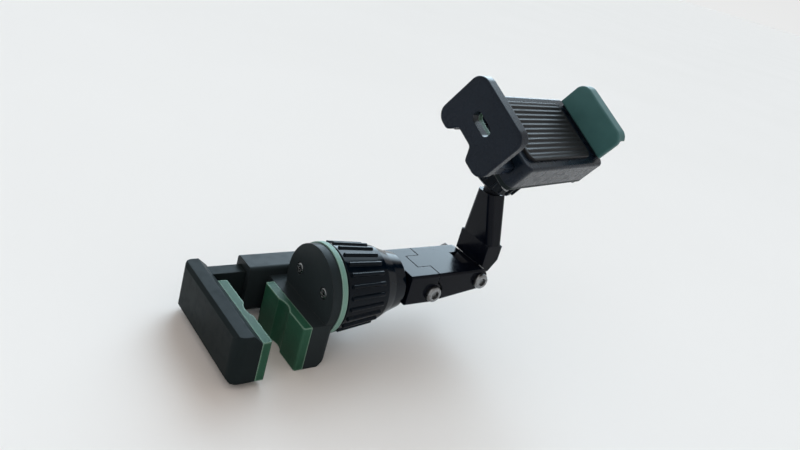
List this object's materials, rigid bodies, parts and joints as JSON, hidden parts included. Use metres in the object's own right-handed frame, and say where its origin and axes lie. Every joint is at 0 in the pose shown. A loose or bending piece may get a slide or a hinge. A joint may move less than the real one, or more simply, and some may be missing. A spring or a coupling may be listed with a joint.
{
  "type": "bike phone holder",
  "caption": "Clamp-on phone holder: sprung hook clamp for a bar or pole, ball joints with ribbed lock collars, folding arm and sprung phone clip with soft pads.",
  "frame": {"origin": "on the axis of the gripped pole, at mid-height of the clamp jaws", "axes": "+Z along the pole, +X from the pole towards the arm, -Y towards the open side of the clamp"},
  "size_m": [0.1653, 0.0757, 0.1211],
  "materials": {
    "black_plastic": "satin moulded",
    "green_rubber": "matt moulded",
    "black_rubber": "matt moulded",
    "light_green_plastic": "satin",
    "steel": "bright plated"
  },
  "bodies": {
    "clamp": {"clamp_body": "black_plastic", "fixed_jaw_pad": "green_rubber", "channel_cover": "black_plastic", "cover_screws": "steel", "channel_spring_pin": "steel", "ball_socket": "black_plastic", "socket_screws": "steel", "collar_ring": "light_green_plastic", "clamp_spring": "steel"},
    "hook": {"hook_jaw": "black_plastic", "hook_jaw_pad": "green_rubber", "hook_spring_pin": "steel"},
    "collar": {"collar_nut": "black_plastic"},
    "fork": {"ball_fork": "black_plastic", "fork_screw": "steel", "fork_nut": "steel"},
    "link": {"middle_link": "black_plastic", "link_screw": "steel", "link_nut": "steel"},
    "arm": {"upper_arm": "black_plastic"},
    "clip": {"clip_shell": "black_plastic", "clip_back": "black_plastic", "shell_screws": "steel", "phone_rest_pad": "black_rubber", "far_grip_pad": "green_rubber", "clip_spring": "steel"},
    "clip_lock": {"clip_nut": "black_plastic"},
    "jaw": {"near_jaw": "black_plastic", "near_grip_pad": "green_rubber", "jaw_crossbar": "black_plastic", "crossbar_screws": "steel"}
  },
  "joints": [
    {"name": "hook_slide", "type": "slide", "parent": "clamp", "child": "hook", "axis": [-1, 0, 0], "range_m": [-0.009, 0.016], "stiffness_N_per_m": 400, "deforming": ["clamp_spring"]},
    {"name": "collar_spin", "type": "hinge", "parent": "clamp", "child": "collar", "pos_m": [0.0206, 0, 0.0142], "axis": [1, 0, 0], "continuous": true},
    {"name": "ball_swivel", "type": "hinge", "parent": "clamp", "child": "fork", "pos_m": [0.035, 0, 0.0142], "axis": [1, 0, 0], "continuous": true},
    {"name": "first_fold", "type": "hinge", "parent": "fork", "child": "link", "pos_m": [0.07, 0, 0.0134], "axis": [0, 1, 0], "range_deg": [0, 90]},
    {"name": "second_fold", "type": "hinge", "parent": "link", "child": "arm", "pos_m": [0.09604, 0, 0.01706], "axis": [0, 1, 0], "range_deg": [-25, 90]},
    {"name": "clip_swivel", "type": "hinge", "parent": "arm", "child": "clip", "pos_m": [0.09904, 0, 0.06806], "axis": [0.1364, -0.5159, 0.8457], "continuous": true},
    {"name": "clip_lock_spin", "type": "hinge", "parent": "clip", "child": "clip_lock", "pos_m": [0.09904, 0, 0.06806], "axis": [0.1364, -0.5159, 0.8457], "continuous": true},
    {"name": "jaw_slide", "type": "slide", "parent": "clip", "child": "jaw", "axis": [-0.9783, -0.2044, 0.0332], "range_m": [-0.015, 0.0145], "stiffness_N_per_m": 250, "deforming": ["clip_spring"]}
  ]
}
